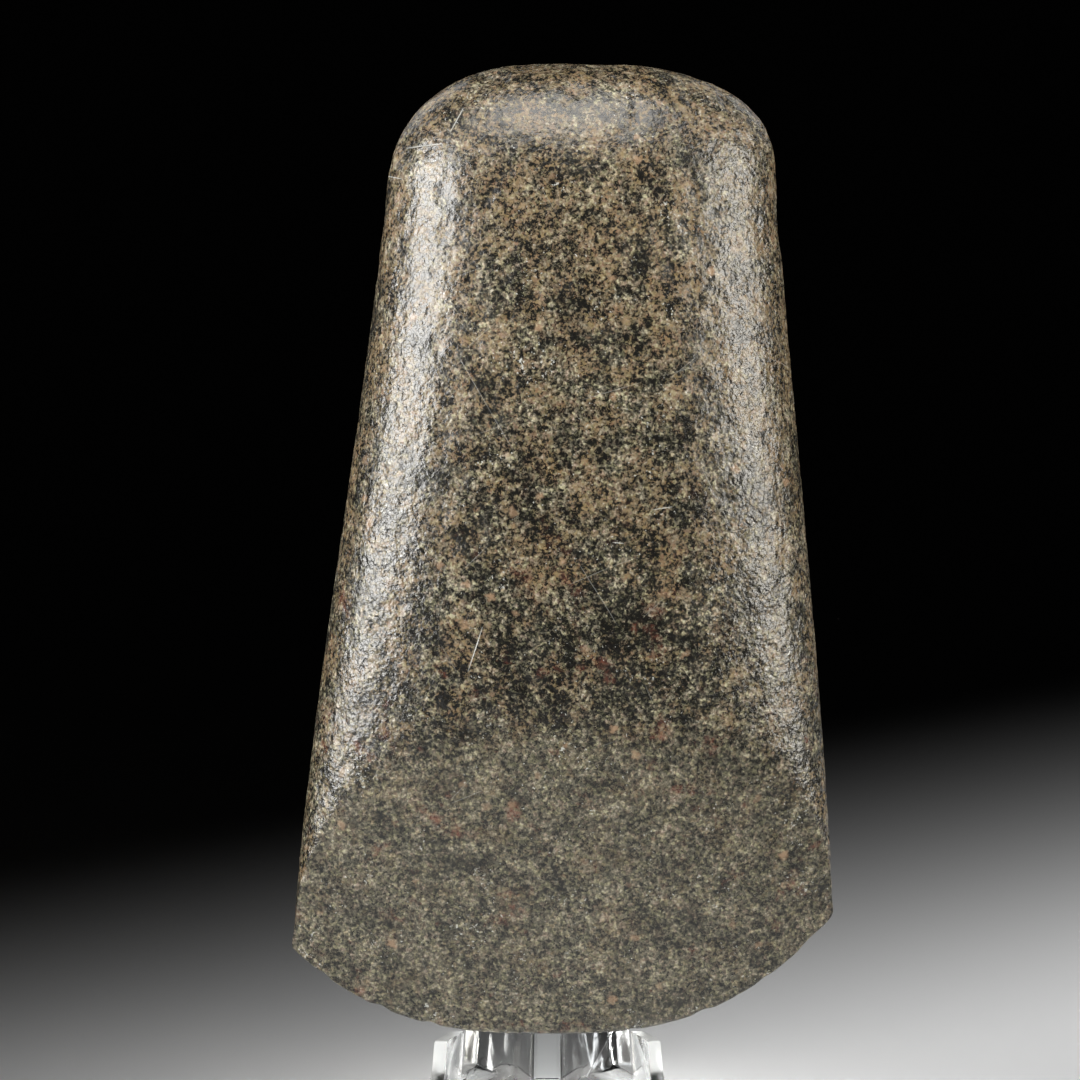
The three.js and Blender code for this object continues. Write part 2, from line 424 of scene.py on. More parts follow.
@dataclass(frozen=True)
class SoftSmudges:
    """Soft smudges that handling leaves on a smooth surface."""

    detail: float = 4.0
    roughness: float = 0.55
    dulled_from: Range = (0.45, 0.68)

    def group(self) -> bpy.types.NodeTree:
        """Makes the group."""
        craft = shader_group(
            Effect.SMUDGES.value,
            [("Place", "NodeSocketVector", None), ("Size", "NodeSocketFloat", 12.0)],
            ["Mask"])
        taken = craft.group_inputs()
        cloud, _ = craft.noise(Place(taken["Place"]), Field(taken["Size"]), self.detail, self.roughness)
        craft.node("NodeGroupOutput", {"Mask": cloud.eased(*self.dulled_from)})
        return craft.tree


@dataclass
class Effects:
    """The shared groups, each built once and placed in every finish that wants it."""

    built: dict[Effect, bpy.types.NodeTree] = field(default_factory=dict)

    def build(self) -> None:
        """Builds every group."""
        self.built = {Effect.SCRATCHES: HairlineScratches().group(), Effect.SMUDGES: SoftSmudges().group()}

    def place_in(self, craft: Craft, effect: Effect, inputs: dict[str, Value]) -> Field:
        """Puts a group into a finish.

        Args:
            craft: The finish's tree.
            effect: Which group.
            inputs: What goes into it.

        Returns:
            The group's mask.
        """
        made = craft.node("ShaderNodeGroup", node_tree=self.built[effect])
        for name, value in inputs.items():
            craft.plug(value, made.inputs[name])
        return Field(made.outputs["Mask"])


# ----------------------------------------------------------------------------------------------------------
# Finishes
# ----------------------------------------------------------------------------------------------------------


def new_material(name: str) -> tuple[bpy.types.Material, Craft, bpy.types.Node]:
    """Starts a material.

    Args:
        name: The material's name.

    Returns:
        The material, the craft of its tree and its surface shader.
    """
    material = bpy.data.materials.new(name)
    material.use_nodes = True
    material.node_tree.nodes.clear()
    craft = Craft(material.node_tree)
    shader = craft.node("ShaderNodeBsdfPrincipled")
    craft.node("ShaderNodeOutputMaterial", {"Surface": shader.outputs["BSDF"]})
    return material, craft, shader


def attribute(craft: Craft, name: str) -> Field:
    """Reads a number that the mesh keeps, in a material."""
    return Field(craft.node("ShaderNodeAttribute", attribute_name=name).outputs["Fac"])


@dataclass(frozen=True)
class Scratch:
    """One visible scratch on the front, from end to end, in the axe head's own frame in millimetres."""

    start: tuple[float, float]
    end: tuple[float, float]
    width: float = 0.16
    end_strength: float = 0.35

    def mask(self, craft: Craft, x: Field, z: Field) -> Field:
        """Gives 1 on the scratch and 0 off it, where x and z are the surface's place."""
        run_x, run_z = self.end[0] - self.start[0], self.end[1] - self.start[1]
        length = math.hypot(run_x, run_z)
        from_x, from_z = x - self.start[0], z - self.start[1]
        share = ((from_x * run_x + from_z * run_z) / length**2).clamped()
        off = joined(from_x - share * run_x, 0.0, from_z - share * run_z, craft).length()
        taper = 1.0 - (share * 2.0 - 1.0) ** 2.0
        strength = self.end_strength + (1.0 - self.end_strength) * taper
        return ((1.0 - off / self.width).clamped() * strength).clamped()


@dataclass(frozen=True)
class GrainMix:
    """How much each of the grain's patterns adds to how pale the stone is, over a middle level."""

    middle: float
    blobs: float
    fine: float
    cells: float
    patches: float
    fibres: float

    def tone(self, blobs: Field, fine: Field, cell: Field, patch: Field, fibre: Field) -> Field:
        """Adds the patterns up. All but the fibres vary around 0.5."""
        return (self.middle + (blobs - 0.5) * self.blobs + (fine - 0.5) * self.fine
                + (cell - 0.5) * self.cells + (patch - 0.5) * self.patches + fibre * self.fibres)


@dataclass(frozen=True)
class Grains:
    """The interlocked grains of the stone, coarse on the body and evener on its fresh facets, with painted
    shade just above the ridge.
    """

    warp: Swell = Swell(0.8)
    warp_reach: float = 0.7
    blobs: Swell = Swell(1.6, 2.0, 0.55)
    fine: Swell = Swell(0.64, 2.0, 0.7, (31.0, 7.0, 13.0))
    cell_size: float = 0.62
    patches: Swell = Swell(5.5, 3.0, 0.55, (5.0, 91.0, 40.0))
    veins: Swell = Swell(0.85, 1.0, 0.5, (3.0, 1.0, 77.0))
    vein_width: float = 0.04
    coarse: GrainMix = GrainMix(0.50, 0.95, 1.4, 0.22, 0.7, 0.08)
    even: GrainMix = GrainMix(0.57, 0.6, 1.0, 0.14, 0.45, 0.07)
    # Painted shade: where, how far across and how much the body's middle just above the ridge is darkened in
    # its colour, standing in for the dim light there.
    painted_shade_heights: Range = (118.0, 66.0)
    painted_shade_across: Range = (46.0, 22.0)
    painted_shade_offset: float = 4.0
    painted_shade_depth: float = 0.055
    dents: Swell = Swell(0.95, 1.0, 0.4, (11.0, 8.0, 2.0))
    blob_height: float = 0.5
    fibre_height: float = 0.08

    def make(self, craft: Craft, place: Place, facet: Field) -> tuple[Field, Field, Place]:
        """Makes the grains.

        Args:
            craft: The material's tree.
            place: The surface's place.
            facet: 1 on the freshly ground facets and 0 on the body.

        Returns:
            How pale the stone is, with painted shade darkening the body's middle just above the ridge, how
            high it stands, and three random numbers for each small grain.
        """
        warped = self.warp.bend(craft, place, self.warp_reach)
        blobs, fine = self.blobs.read(craft, warped), self.fine.read(craft, warped)
        _, random = craft.cells(warped, self.cell_size)
        patch = self.patches.read(craft, place)
        fibre = 1.0 - (abs(self.veins.read(craft, warped) - 0.5) / self.vein_width).clamped()
        patterns = (blobs, fine, random.parts()[0], patch, fibre)
        coarse, even = self.coarse.tone(*patterns), self.even.tone(*patterns)
        x, _, z = place.parts()
        # Painted shade: the tone is darkened over the middle of the body just above the ridge, off the
        # facets, standing in for the shade that falls there.
        shaded = (z.eased(*self.painted_shade_heights) * (1.0 - facet)
                  * abs(x + self.painted_shade_offset).eased(*self.painted_shade_across))
        tone = coarse + (even - coarse) * facet - self.painted_shade_depth * shaded
        height = self.dents.read(craft, warped) + blobs * self.blob_height + fibre * self.fibre_height
        return tone, height, random


@dataclass(frozen=True)
class Minerals:
    """The colours of the grains, from the darkest mineral to the palest, with the levels they start at."""

    levels: tuple[float, ...] = (0.28, 0.41, 0.50, 0.60, 0.73, 0.92)
    black: Triple = (0.0055, 0.0053, 0.0045)
    green_black: Triple = (0.014, 0.014, 0.0108)
    umber: Triple = (0.034, 0.031, 0.022)
    grey_green: Triple = (0.072, 0.069, 0.050)
    buff: Triple = (0.160, 0.142, 0.104)
    cream: Triple = (0.390, 0.360, 0.285)

    def colour(self, craft: Craft, tone: Field) -> bpy.types.NodeSocket:
        """Gives each grain the colour of its mineral, from how pale it is."""
        colours = (self.black, self.green_black, self.umber, self.grey_green, self.buff, self.cream)
        return craft.ramp(tone, list(zip(self.levels, colours)))


@dataclass(frozen=True)
class Patina:
    """What lies over the minerals: a tan patina, tints, rusty stains, buff spots and white specks."""

    clouds: Swell = Swell(7.0, 5.0, 0.68, (50.0, 3.0, 8.0))
    tan: Triple = (0.185, 0.127, 0.070)
    tan_height: float = 120.0
    tan_rise: float = 0.0006
    tan_in_pits: float = 0.12
    tan_from: Range = (0.40, 0.66)
    tan_tones: Range = (0.34, 0.56)
    tan_on_facet: float = 0.3
    tan_least: float = 0.2
    tan_spread: float = 0.75
    mauve: Triple = (0.98, 0.86, 0.88)
    mauve_from: Range = (0.55, 0.95)
    olive: Triple = (0.97, 1.0, 0.84)
    olive_from: Range = (0.5, 0.9)
    stains: Swell = Swell(8.0, 5.0, 0.7, (9.0, 60.0, 71.0))
    rust: Triple = (0.180, 0.062, 0.040)
    stain_from: Range = (0.57, 0.72)
    stain_heights: Range = (125.0, 75.0)
    stain_least: float = 0.3
    stain_share: float = 0.6
    spot: Triple = (0.300, 0.200, 0.125)
    spot_bend: Swell = Swell(1.2)
    spot_reach: float = 2.0
    spot_spacing: float = 5.0
    spot_kept: Range = (0.72, 1.0)
    spot_rim: Range = (0.26, 0.1)
    spot_share: float = 0.75
    white: Triple = (0.560, 0.570, 0.540)
    speck_spread: Swell = Swell(9.0, shift=(3.0, 2.0, 1.0))
    specks: Swell = Swell(0.75, 3.0, 0.7, (23.0, 12.0, 1.0))
    speck_gather: float = 0.35
    speck_from: Range = (0.67, 0.73)
    speck_share: float = 0.7

    def lay(self, craft: Craft, place: Place, colour: bpy.types.NodeSocket, tone: Field, facet: Field,
            pit: Field, random: Place) -> bpy.types.NodeSocket:
        """Lays it all over the minerals.

        Args:
            craft: The material's tree.
            place: The surface's place.
            colour: The minerals' colour.
            tone: How pale the stone is.
            facet: 1 on the freshly ground facets and 0 on the body.
            pit: How deep in a pit the surface is, from 0 to 1.
            random: Three random numbers for each small grain.

        Returns:
            The colour of the whole.
        """
        first, second, third = random.parts()
        _, _, z = place.parts()
        body = 1.0 - facet * (1.0 - self.tan_on_facet)
        cloud = self.clouds.read(craft, place) + (z - self.tan_height) * self.tan_rise
        tanned = (cloud + pit * self.tan_in_pits).eased(*self.tan_from) * body * tone.eased(*self.tan_tones)
        colour = craft.blend(tanned * (self.tan_least + self.tan_spread * second), colour, self.tan)
        colour = craft.blend(third.eased(*self.mauve_from), colour, self.mauve, "MULTIPLY")
        colour = craft.blend(first.eased(*self.olive_from), colour, self.olive, "MULTIPLY")
        rusty = (self.stains.read(craft, place).eased(*self.stain_from) * z.eased(*self.stain_heights)
                 * (self.stain_least + (1.0 - self.stain_least) * second))
        colour = craft.blend(rusty * self.stain_share, colour, self.rust)
        off, drawn = craft.cells(self.spot_bend.bend(craft, place, self.spot_reach), self.spot_spacing)
        spotted = drawn.parts()[0].eased(*self.spot_kept) * off.eased(*self.spot_rim)
        colour = craft.blend(spotted * self.spot_share, colour, self.spot)
        gathered = (self.speck_spread.read(craft, place) - 0.5) * self.speck_gather
        speck = (self.specks.read(craft, place) + gathered).eased(*self.speck_from)
        return craft.blend(speck * self.speck_share, colour, self.white)


@dataclass(frozen=True)
class SpeckledStone:
    """Ground and polished speckled stone: interlocked dark and pale grains under a tan patina."""

    place: Triple
    lean: float
    grains: Grains = Grains()
    minerals: Minerals = Minerals()
    patina: Patina = Patina()
    scratches: tuple[Scratch, ...] = (
        Scratch((-32.2, 182.0), (-25.2, 182.6), 0.2),
        Scratch((-23.3, 185.0), (-20.6, 190.0), 0.14),
        Scratch((-36.5, 176.5), (-33.0, 175.6), 0.14),
        Scratch((-16.7, 84.7), (-19.6, 75.8), 0.16),
        Scratch((9.7, 101.9), (11.8, 101.7), 0.15),
        Scratch((17.8, 108.5), (21.7, 109.1), 0.13),
    )
    hairline_spacing: float = 30.0
    hairline_width: float = 0.1
    hairline_share: float = 0.22
    hairline_strength: float = 0.3
    smudge_size: float = 14.0
    front: Range = (1.0, -1.0)
    worn_white: float = 0.75
    worn_height: float = 0.6
    polish: float = 0.25
    pale_dulling: float = 0.10
    pale_from: Range = (0.35, 0.75)
    smudge_dulling: float = 0.04
    worn_dulling: float = 0.2
    pit_dulling: float = 0.05
    refraction: float = 1.66
    calm_front: float = 0.35
    rough_flank: Range = (18.0, 38.0)
    facet_calm: float = 0.7
    grain_height: float = 0.28

    def material(self, effects: Effects) -> bpy.types.Material:
        """Makes the material.

        Args:
            effects: The shared groups.

        Returns:
            The finished material.
        """
        material, craft, shader = new_material("speckled_stone")
        place = self._own_place(craft)
        x, y, z = place.parts()
        facet, pit = attribute(craft, "facet"), attribute(craft, "pit")
        tone, height, random = self.grains.make(craft, place, facet)
        colour = self.minerals.colour(craft, tone)
        colour = self.patina.lay(craft, place, colour, tone, facet, pit, random)
        marks = reduce(Field.at_least, [scratch.mask(craft, x, z) for scratch in self.scratches])
        hairlines = effects.place_in(craft, Effect.SCRATCHES, {
            "Place": place, "Spacing": self.hairline_spacing, "Width": self.hairline_width,
            "Share": self.hairline_share})
        worn = (marks * y.eased(*self.front)).at_least(hairlines * self.hairline_strength)
        smudge = effects.place_in(craft, Effect.SMUDGES, {"Place": place, "Size": self.smudge_size})
        craft.plug(craft.blend(worn * self.worn_white, colour, self.patina.white),
                   shader.inputs["Base Color"])
        craft.plug(self.polish + self.pale_dulling * tone.eased(*self.pale_from)
                   + self.smudge_dulling * smudge + self.worn_dulling * worn + self.pit_dulling * pit,
                   shader.inputs["Roughness"])
        shader.inputs["IOR"].default_value = self.refraction
        flank = self.calm_front + (1.0 - self.calm_front) * abs(x).eased(*self.rough_flank)
        relief = (height - worn * self.worn_height) * (flank * (1.0 - facet * self.facet_calm))
        bump = craft.node("ShaderNodeBump", {
            "Height": relief, "Strength": 1.0, "Distance": self.grain_height * MILLIMETRE})
        craft.plug(bump.outputs[0], shader.inputs["Normal"])
        return material

    def _own_place(self, craft: Craft) -> Place:
        """Gives the surface's place in the axe head's own upright frame, in millimetres."""
        own = craft.node("ShaderNodeTexCoord").outputs["Object"]
        turned = craft.node("ShaderNodeMapping", {
            "Vector": own, "Location": self.place, "Rotation": (-self.lean, 0.0, 0.0),
            "Scale": (MILLIMETRE,) * 3}, vector_type="TEXTURE")
        return Place(turned.outputs[0])


@dataclass(frozen=True)
class ClearAcrylic:
    """Clear acrylic sheet with polished faces and a little handling wear."""

    tint: Triple = (0.965, 0.985, 0.985)
    refraction: float = 1.49
    polish: float = 0.02
    sawn_dulling: float = 0.30
    hairline_spacing: float = 9.0
    hairline_width: float = 0.07
    hairline_share: float = 0.32
    hairline_dulling: float = 0.22
    hairline_depth: float = 0.01
    hairline_strength: float = 0.3
    smudge_size: float = 9.0
    smudge_dulling: float = 0.05

    def material(self, effects: Effects) -> bpy.types.Material:
        """Makes the material.

        Args:
            effects: The shared groups.

        Returns:
            The finished material.
        """
        material, craft, shader = new_material("clear_acrylic")
        shader.inputs["Base Color"].default_value = opaque(self.tint)
        shader.inputs["Transmission Weight"].default_value = 1.0
        shader.inputs["IOR"].default_value = self.refraction
        place = Place(craft.node("ShaderNodeTexCoord").outputs["Object"]) * ((1.0 / MILLIMETRE,) * 3)
        hairlines = effects.place_in(craft, Effect.SCRATCHES, {
            "Place": place, "Spacing": self.hairline_spacing, "Width": self.hairline_width,
            "Share": self.hairline_share})
        smudge = effects.place_in(craft, Effect.SMUDGES, {"Place": place, "Size": self.smudge_size})
        craft.plug(self.polish + self.smudge_dulling * smudge + self.hairline_dulling * hairlines
                   + self.sawn_dulling * attribute(craft, "cut"), shader.inputs["Roughness"])
        bump = craft.node("ShaderNodeBump", {
            "Height": 0.0 - hairlines, "Strength": self.hairline_strength,
            "Distance": self.hairline_depth * MILLIMETRE})
        craft.plug(bump.outputs[0], shader.inputs["Normal"])
        return material


@dataclass(frozen=True)
class PalePaper:
    """Matt pale background paper."""

    tint: Triple = (0.80, 0.80, 0.80)
    clouds: Swell = Swell(0.12, 5.0, 0.6)
    cloud_shade: float = 0.985
    roughness: float = 0.7
    shine: float = 0.25

    def material(self) -> bpy.types.Material:
        """Makes the material."""
        material, craft, shader = new_material("pale_paper")
        cloud = self.clouds.read(craft, Place(craft.node("ShaderNodeTexCoord").outputs["Object"]))
        shaded = tuple(self.cloud_shade * part for part in self.tint)
        craft.plug(craft.blend(cloud, shaded, self.tint), shader.inputs["Base Color"])
        shader.inputs["Roughness"].default_value = self.roughness
        shader.inputs["Specular IOR Level"].default_value = self.shine
        return material


# ----------------------------------------------------------------------------------------------------------
# Axe head
# ----------------------------------------------------------------------------------------------------------


@dataclass(frozen=True)
class Side:
    """One side of the axe head's outline, in millimetres from its long axis."""

    blade: float
    butt: float
    blade_slope: float
    butt_slope: float
    shoulder: float
    corner: float


@dataclass(frozen=True)
class Grind:
    """How one face is ground down to the cutting edge: its slope there, and how the slope eases off."""

    slope: float
    flattening: float


@dataclass(frozen=True)
class Pits:
    """One size of the small hollows that pecking left, in millimetres."""

    name: str
    spacing: float
    least_radius: float
    greatest_radius: float
    depth: float
    seed: int


@dataclass(frozen=True)
class Scar:
    """A shallow hollow that a lost flake left: its middle, its reach along x, y and z, and its depth."""

    middle: Triple
    reach: Triple
    depth: float


@dataclass(frozen=True)
class Nick:
    """A small notch in the cutting edge: where it is across, how wide it is and how deep."""

    x: float
    width: float
    depth: float


@dataclass
class AxeHead:
    """The stone axe head: a ground form with the hollows, scars and nicks of its making and use.

    Sizes are in millimetres, in the head's own upright frame, whose origin is under the cutting edge.
    """

    length: float = 200.0
    lean: float = math.radians(5.0)
    side_start: float = 20.0
    side_end: float = 173.0
    left: Side = Side(56.0, 36.8, -0.07, -0.1, 27.0, 1.5)
    right: Side = Side(55.6, 43.8, -0.035, -0.07, 22.0, 3.5)
    shoulder_power: float = 2.5
    edge_middle: float = -3.0
    edge_reach: float = 50.0
    edge_rise: float = 14.5
    edge_power: float = 2.8
    edge_bluntness: float = 0.5
    edge_fade_height: float = 90.0
    edge_fade_power: float = 1.5
    belly: float = 23.0
    belly_height: float = 115.0
    belly_span: float = 48.0
    belly_fall: float = 2.5
    dome: float = 25.0
    dome_power: float = 2.2
    blade_section: tuple[float, float] = (3.5, 3.1)
    butt_section: tuple[float, float] = (2.5, 2.2)
    front_grind: Grind = Grind(0.36, 0.00082)
    back_grind: Grind = Grind(0.4, 0.001)
    ridge_sharpness: float = 20.0
    rings: int = 304
    ring_points: int = 322
    end_crowding: float = 0.62
    join_distance: float = 0.005
    least_half: float = 1e-9
    facet_from: Range = (0.94, 1.06)
    firm_from: Range = (0.5, 6.0)
    swells: Swell = Swell(26.0)
    swell_depth: float = 0.34
    pecked: Swell = Swell(19.0, 2.0, 0.6, (17.0, 29.0, 3.0))
    pecked_from: Range = (0.38, 0.72)
    pecked_flank: Range = (22.0, 40.0)
    flank_pecking: float = 0.35
    facet_grinding: float = 0.94
    least_pecking: float = 0.04
    pit_power: float = 1.5
    pit_crowding: float = 3.0
    crumble: Swell = Swell(2.6, 2.0, 0.6, (2.0, 5.0, 11.0))
    crumble_depth: float = 0.07
    crumble_ground_off: float = 0.6
    scar_break: Swell = Swell(3.4)
    scar_raggedness: float = 0.5
    scar_rim: float = 0.5
    nick_power: float = 0.7
    nick_fade: float = 5.0
    edge_wear: Swell = Swell(1.6, 3.0, 0.6)
    edge_wear_level: float = 0.35
    edge_wear_depth: float = 0.5
    pits: tuple[Pits, ...] = (
        Pits("broad_pits", 5.2, 1.7, 3.1, 0.26, 11),
        Pits("small_pits", 2.3, 0.9, 1.5, 0.17, 23),
    )
    scars: tuple[Scar, ...] = (
        Scar((-4.5, -4.0, 199.6), (9.0, 6.5, 3.2), 1.0),
        Scar((6.5, 2.0, 199.8), (7.0, 8.0, 3.0), 0.6),
        Scar((-16.0, -8.0, 197.2), (6.0, 5.0, 3.0), 0.5),
        Scar((-33.5, -8.0, 181.5), (3.4, 5.0, 4.2), 0.45),
        Scar((-37.6, 2.0, 168.0), (2.2, 6.0, 5.0), 0.4),
        Scar((44.0, 0.0, 166.0), (2.6, 6.0, 6.0), 0.4),
        Scar((30.0, 9.0, 193.0), (7.0, 7.0, 4.0), 0.7),
        Scar((-18.0, 14.0, 188.0), (8.0, 5.0, 6.0), 0.6),
    )
    nicks: tuple[Nick, ...] = (
        Nick(-27.5, 1.6, 0.45),
        Nick(-37.8, 1.9, 0.6),
        Nick(-49.5, 1.5, 0.5),
        Nick(-8.0, 1.2, 0.25),
        Nick(14.0, 1.3, 0.28),
        Nick(28.3, 2.0, 0.5),
        Nick(41.0, 1.4, 0.35),
        Nick(50.5, 2.4, 0.8),
    )

    def form_tree(self) -> bpy.types.NodeTree:
        """Builds the tree that makes the head: its form, then its relief, then its place on the stand."""
        tree = bpy.data.node_groups.new("axe_head_form", "GeometryNodeTree")
        interface = tree.interface
        for label, kind, value in (
            ("Length", "NodeSocketFloat", self.length),
            ("Belly Half Thickness", "NodeSocketFloat", self.belly),
            ("Edge Rise", "NodeSocketFloat", self.edge_rise),
            ("Swell Depth", "NodeSocketFloat", self.swell_depth),
            ("Relief", "NodeSocketFloat", 1.0),
            ("Place", "NodeSocketVector", (0.0, 0.0, 0.0)),
        ):
            interface.new_socket(name=label, in_out="INPUT", socket_type=kind).default_value = value
        interface.new_socket(name="Stone", in_out="INPUT", socket_type="NodeSocketMaterial")
        interface.new_socket(name="Geometry", in_out="OUTPUT", socket_type="NodeSocketGeometry")
        craft = Craft(tree)
        taken = craft.group_inputs()
        form = self._ground_form(craft, taken)
        form = self._relief(craft, taken, form)
        form = craft.node("GeometryNodeTransform", {
            "Geometry": form, "Rotation": (-self.lean, 0.0, 0.0), "Scale": (MILLIMETRE,) * 3,
            "Translation": taken["Place"]}).outputs[0]
        smooth = craft.node("GeometryNodeSetShadeSmooth", {"Geometry": form}).outputs[0]
        real = craft.node("GeometryNodeRealizeInstances", {"Geometry": smooth}).outputs[0]
        dressed = craft.node("GeometryNodeSetMaterial", {"Geometry": real, "Material": taken["Stone"]})
        craft.node("NodeGroupOutput", {"Geometry": dressed.outputs[0]})
        return tree

    def _side_reach(self, right: Field, height: Field, length: Field) -> Field:
        """Gives how far the outline stands from the long axis at a height, on the side that right says."""
        run = self.side_end - self.side_start
        t = (height - self.side_start) / run
        blade = either(right, self.left.blade, self.right.blade)
        butt = either(right, self.left.butt, self.right.butt)
        blade_slope = either(right, self.left.blade_slope, self.right.blade_slope)
        butt_slope = either(right, self.left.butt_slope, self.right.butt_slope)
        shoulder = either(right, self.left.shoulder, self.right.shoulder)
        left_over = 1.0 - t
        straight = blade + (butt - blade) * (t * t * (3.0 - 2.0 * t))
        bend = run * (blade_slope * t * left_over * left_over - butt_slope * t * t * left_over)
        return (straight + bend) * quadrant((height - length + shoulder) / shoulder, self.shoulder_power)

    def _body(self, across: Field, height: Field, taken: dict[str, bpy.types.NodeSocket]) -> Field:
        """Gives half the body's thickness before it is ground, from side to side and at a height."""
        length = Field(taken["Length"])
        off_belly = (height - self.belly_height) / self.belly_span
        belly = Field(taken["Belly Half Thickness"]) - self.belly_fall * off_belly * off_belly
        dome = quadrant((height - length + self.dome) / self.dome, self.dome_power)
        upward = (height / length).clamped()
        width = either(upward, self.blade_section[0], self.butt_section[0])
        thickness = either(upward, self.blade_section[1], self.butt_section[1])
        return belly * dome * quadrant(abs(across), width, thickness)

    def _ground(self, back: Field, distance: Field) -> Field:
        """Gives half the thickness that the grinding leaves at a distance above the cutting edge."""
        slope = either(back, self.front_grind.slope, self.back_grind.slope)
        flattening = either(back, self.front_grind.flattening, self.back_grind.flattening)
        blunt = self.edge_bluntness * (1.0 - (distance * (-1.0 / self.edge_bluntness)).exponent())
        return blunt + distance * (slope - flattening * distance)

    def _ground_form(self, craft: Craft, taken: dict[str, bpy.types.NodeSocket]) -> bpy.types.NodeSocket:
        """Bends a flat grid into the ground form, and closes its seam, its edge and its pole.

        Args:
            craft: The tree.
            taken: The tree's inputs, by name.

        Returns:
            The closed form, which keeps where its facets are and how far each point is from the edge.
        """
        length = Field(taken["Length"])
        grid = craft.node("GeometryNodeMeshGrid", {
            "Size X": 1.0, "Size Y": 1.0, "Vertices X": self.ring_points + 1, "Vertices Y": self.rings + 1})
        along, up, _ = Place(craft.node("GeometryNodeInputPosition").outputs[0]).parts()
        turn, rise_share = along + 0.5, up + 0.5
        across = (turn * math.tau).cosine() * -1.0
        back = turn.over(0.5)
        right = across.over(0.0)
        crowded = (1.0 - (rise_share * math.pi).cosine()) * 0.5
        level = length * (rise_share + (crowded - rise_share) * self.end_crowding)
        reach = self._side_reach(right, level.at_least(self.side_start), length)
        off_middle = abs(across * reach - self.edge_middle) / self.edge_reach
        rise = Field(taken["Edge Rise"]) * off_middle ** self.edge_power
        fade = (1.0 - level / self.edge_fade_height).at_least(0.0) ** self.edge_fade_power
        height = (level + rise * fade).at_most(length)
        distance = (height - rise).at_least(0.0)
        corner = either(right, self.left.corner, self.right.corner)
        corner_share = 1.0 - (distance / corner).clamped()
        corner_cut = corner * (1.0 - (1.0 - corner_share * corner_share) ** 0.5)
        x = across * (self._side_reach(right, height, length) - corner_cut)
        body = self._body(across, height, taken).at_least(self.least_half)
        ground = self._ground(back, distance).at_least(self.least_half)
        ratio = body.at_most(ground) / body.at_least(ground)
        softened = (1.0 + ratio ** self.ridge_sharpness) ** (-1.0 / self.ridge_sharpness)
        touching = body.at_most(ground).over(2.0 * self.least_half)
        half = body.at_most(ground) * softened * touching
        place = joined(x, half * (back * 2.0 - 1.0), height, craft)
        ground_off = ratio * ground.over(body) + (2.0 - ratio) * body.over(ground)
        facet = ground_off.eased(*self.facet_from)
        kept = self._keep(craft, grid.outputs[0], "facet", facet)
        kept = self._keep(craft, kept, "edge_distance", distance)
        placed = craft.node("GeometryNodeSetPosition", {"Geometry": kept, "Position": place}).outputs[0]
        return craft.node("GeometryNodeMergeByDistance", {
            "Geometry": placed, "Distance": self.join_distance}).outputs[0]

    @staticmethod
    def _keep(craft: Craft, geometry: bpy.types.NodeSocket, name: str, value: Field) -> bpy.types.NodeSocket:
        """Keeps a number at every point of a geometry, under a name."""
        return craft.node("GeometryNodeStoreNamedAttribute", {
            "Geometry": geometry, "Name": name, "Value": value}, data_type="FLOAT").outputs[0]

    @staticmethod
    def _kept(craft: Craft, name: str) -> Field:
        """Reads a number that the geometry keeps."""
        made = craft.node("GeometryNodeInputNamedAttribute", {"Name": name}, data_type="FLOAT")
        return Field(made.outputs[0])

    def _pit_bowls(self, craft: Craft, form: bpy.types.NodeSocket, place: Place, pits: Pits,
                   density: Field) -> Field:
        """Scatters one size of pits over the form.

        Args:
            craft: The tree.
            form: The ground form.
            place: The place of its points.
            pits: The size, depth and spacing.
            density: The share of the pits that is kept, from 0 to 1.

        Returns:
            The share of the full depth at each point, from 0 to 1.
        """
        spread = craft.node("GeometryNodeDistributePointsOnFaces", {
            "Mesh": form, "Distance Min": pits.spacing, "Density Max": self.pit_crowding / pits.spacing**2,
            "Density Factor": density, "Seed": pits.seed}, distribute_method="POISSON").outputs["Points"]
        nearest = craft.node("GeometryNodeSampleNearest", {"Geometry": spread}, domain="POINT").outputs[0]
        here = craft.node("GeometryNodeInputPosition").outputs[0]
        middle = craft.node("GeometryNodeSampleIndex", {
            "Geometry": spread, "Value": here, "Index": nearest}, data_type="FLOAT_VECTOR").outputs[0]
        size = craft.node("FunctionNodeRandomValue", {
            "Min": pits.least_radius, "Max": pits.greatest_radius, "Seed": pits.seed}, data_type="FLOAT")
        drawn = next(socket for socket in size.outputs if socket.enabled)
        radius = Field(craft.node("GeometryNodeSampleIndex", {
            "Geometry": spread, "Value": drawn, "Index": nearest}, data_type="FLOAT").outputs[0])
        off = (place - Place(middle)).length() / radius
        return (1.0 - off * off).at_least(0.0) ** self.pit_power * radius / pits.greatest_radius

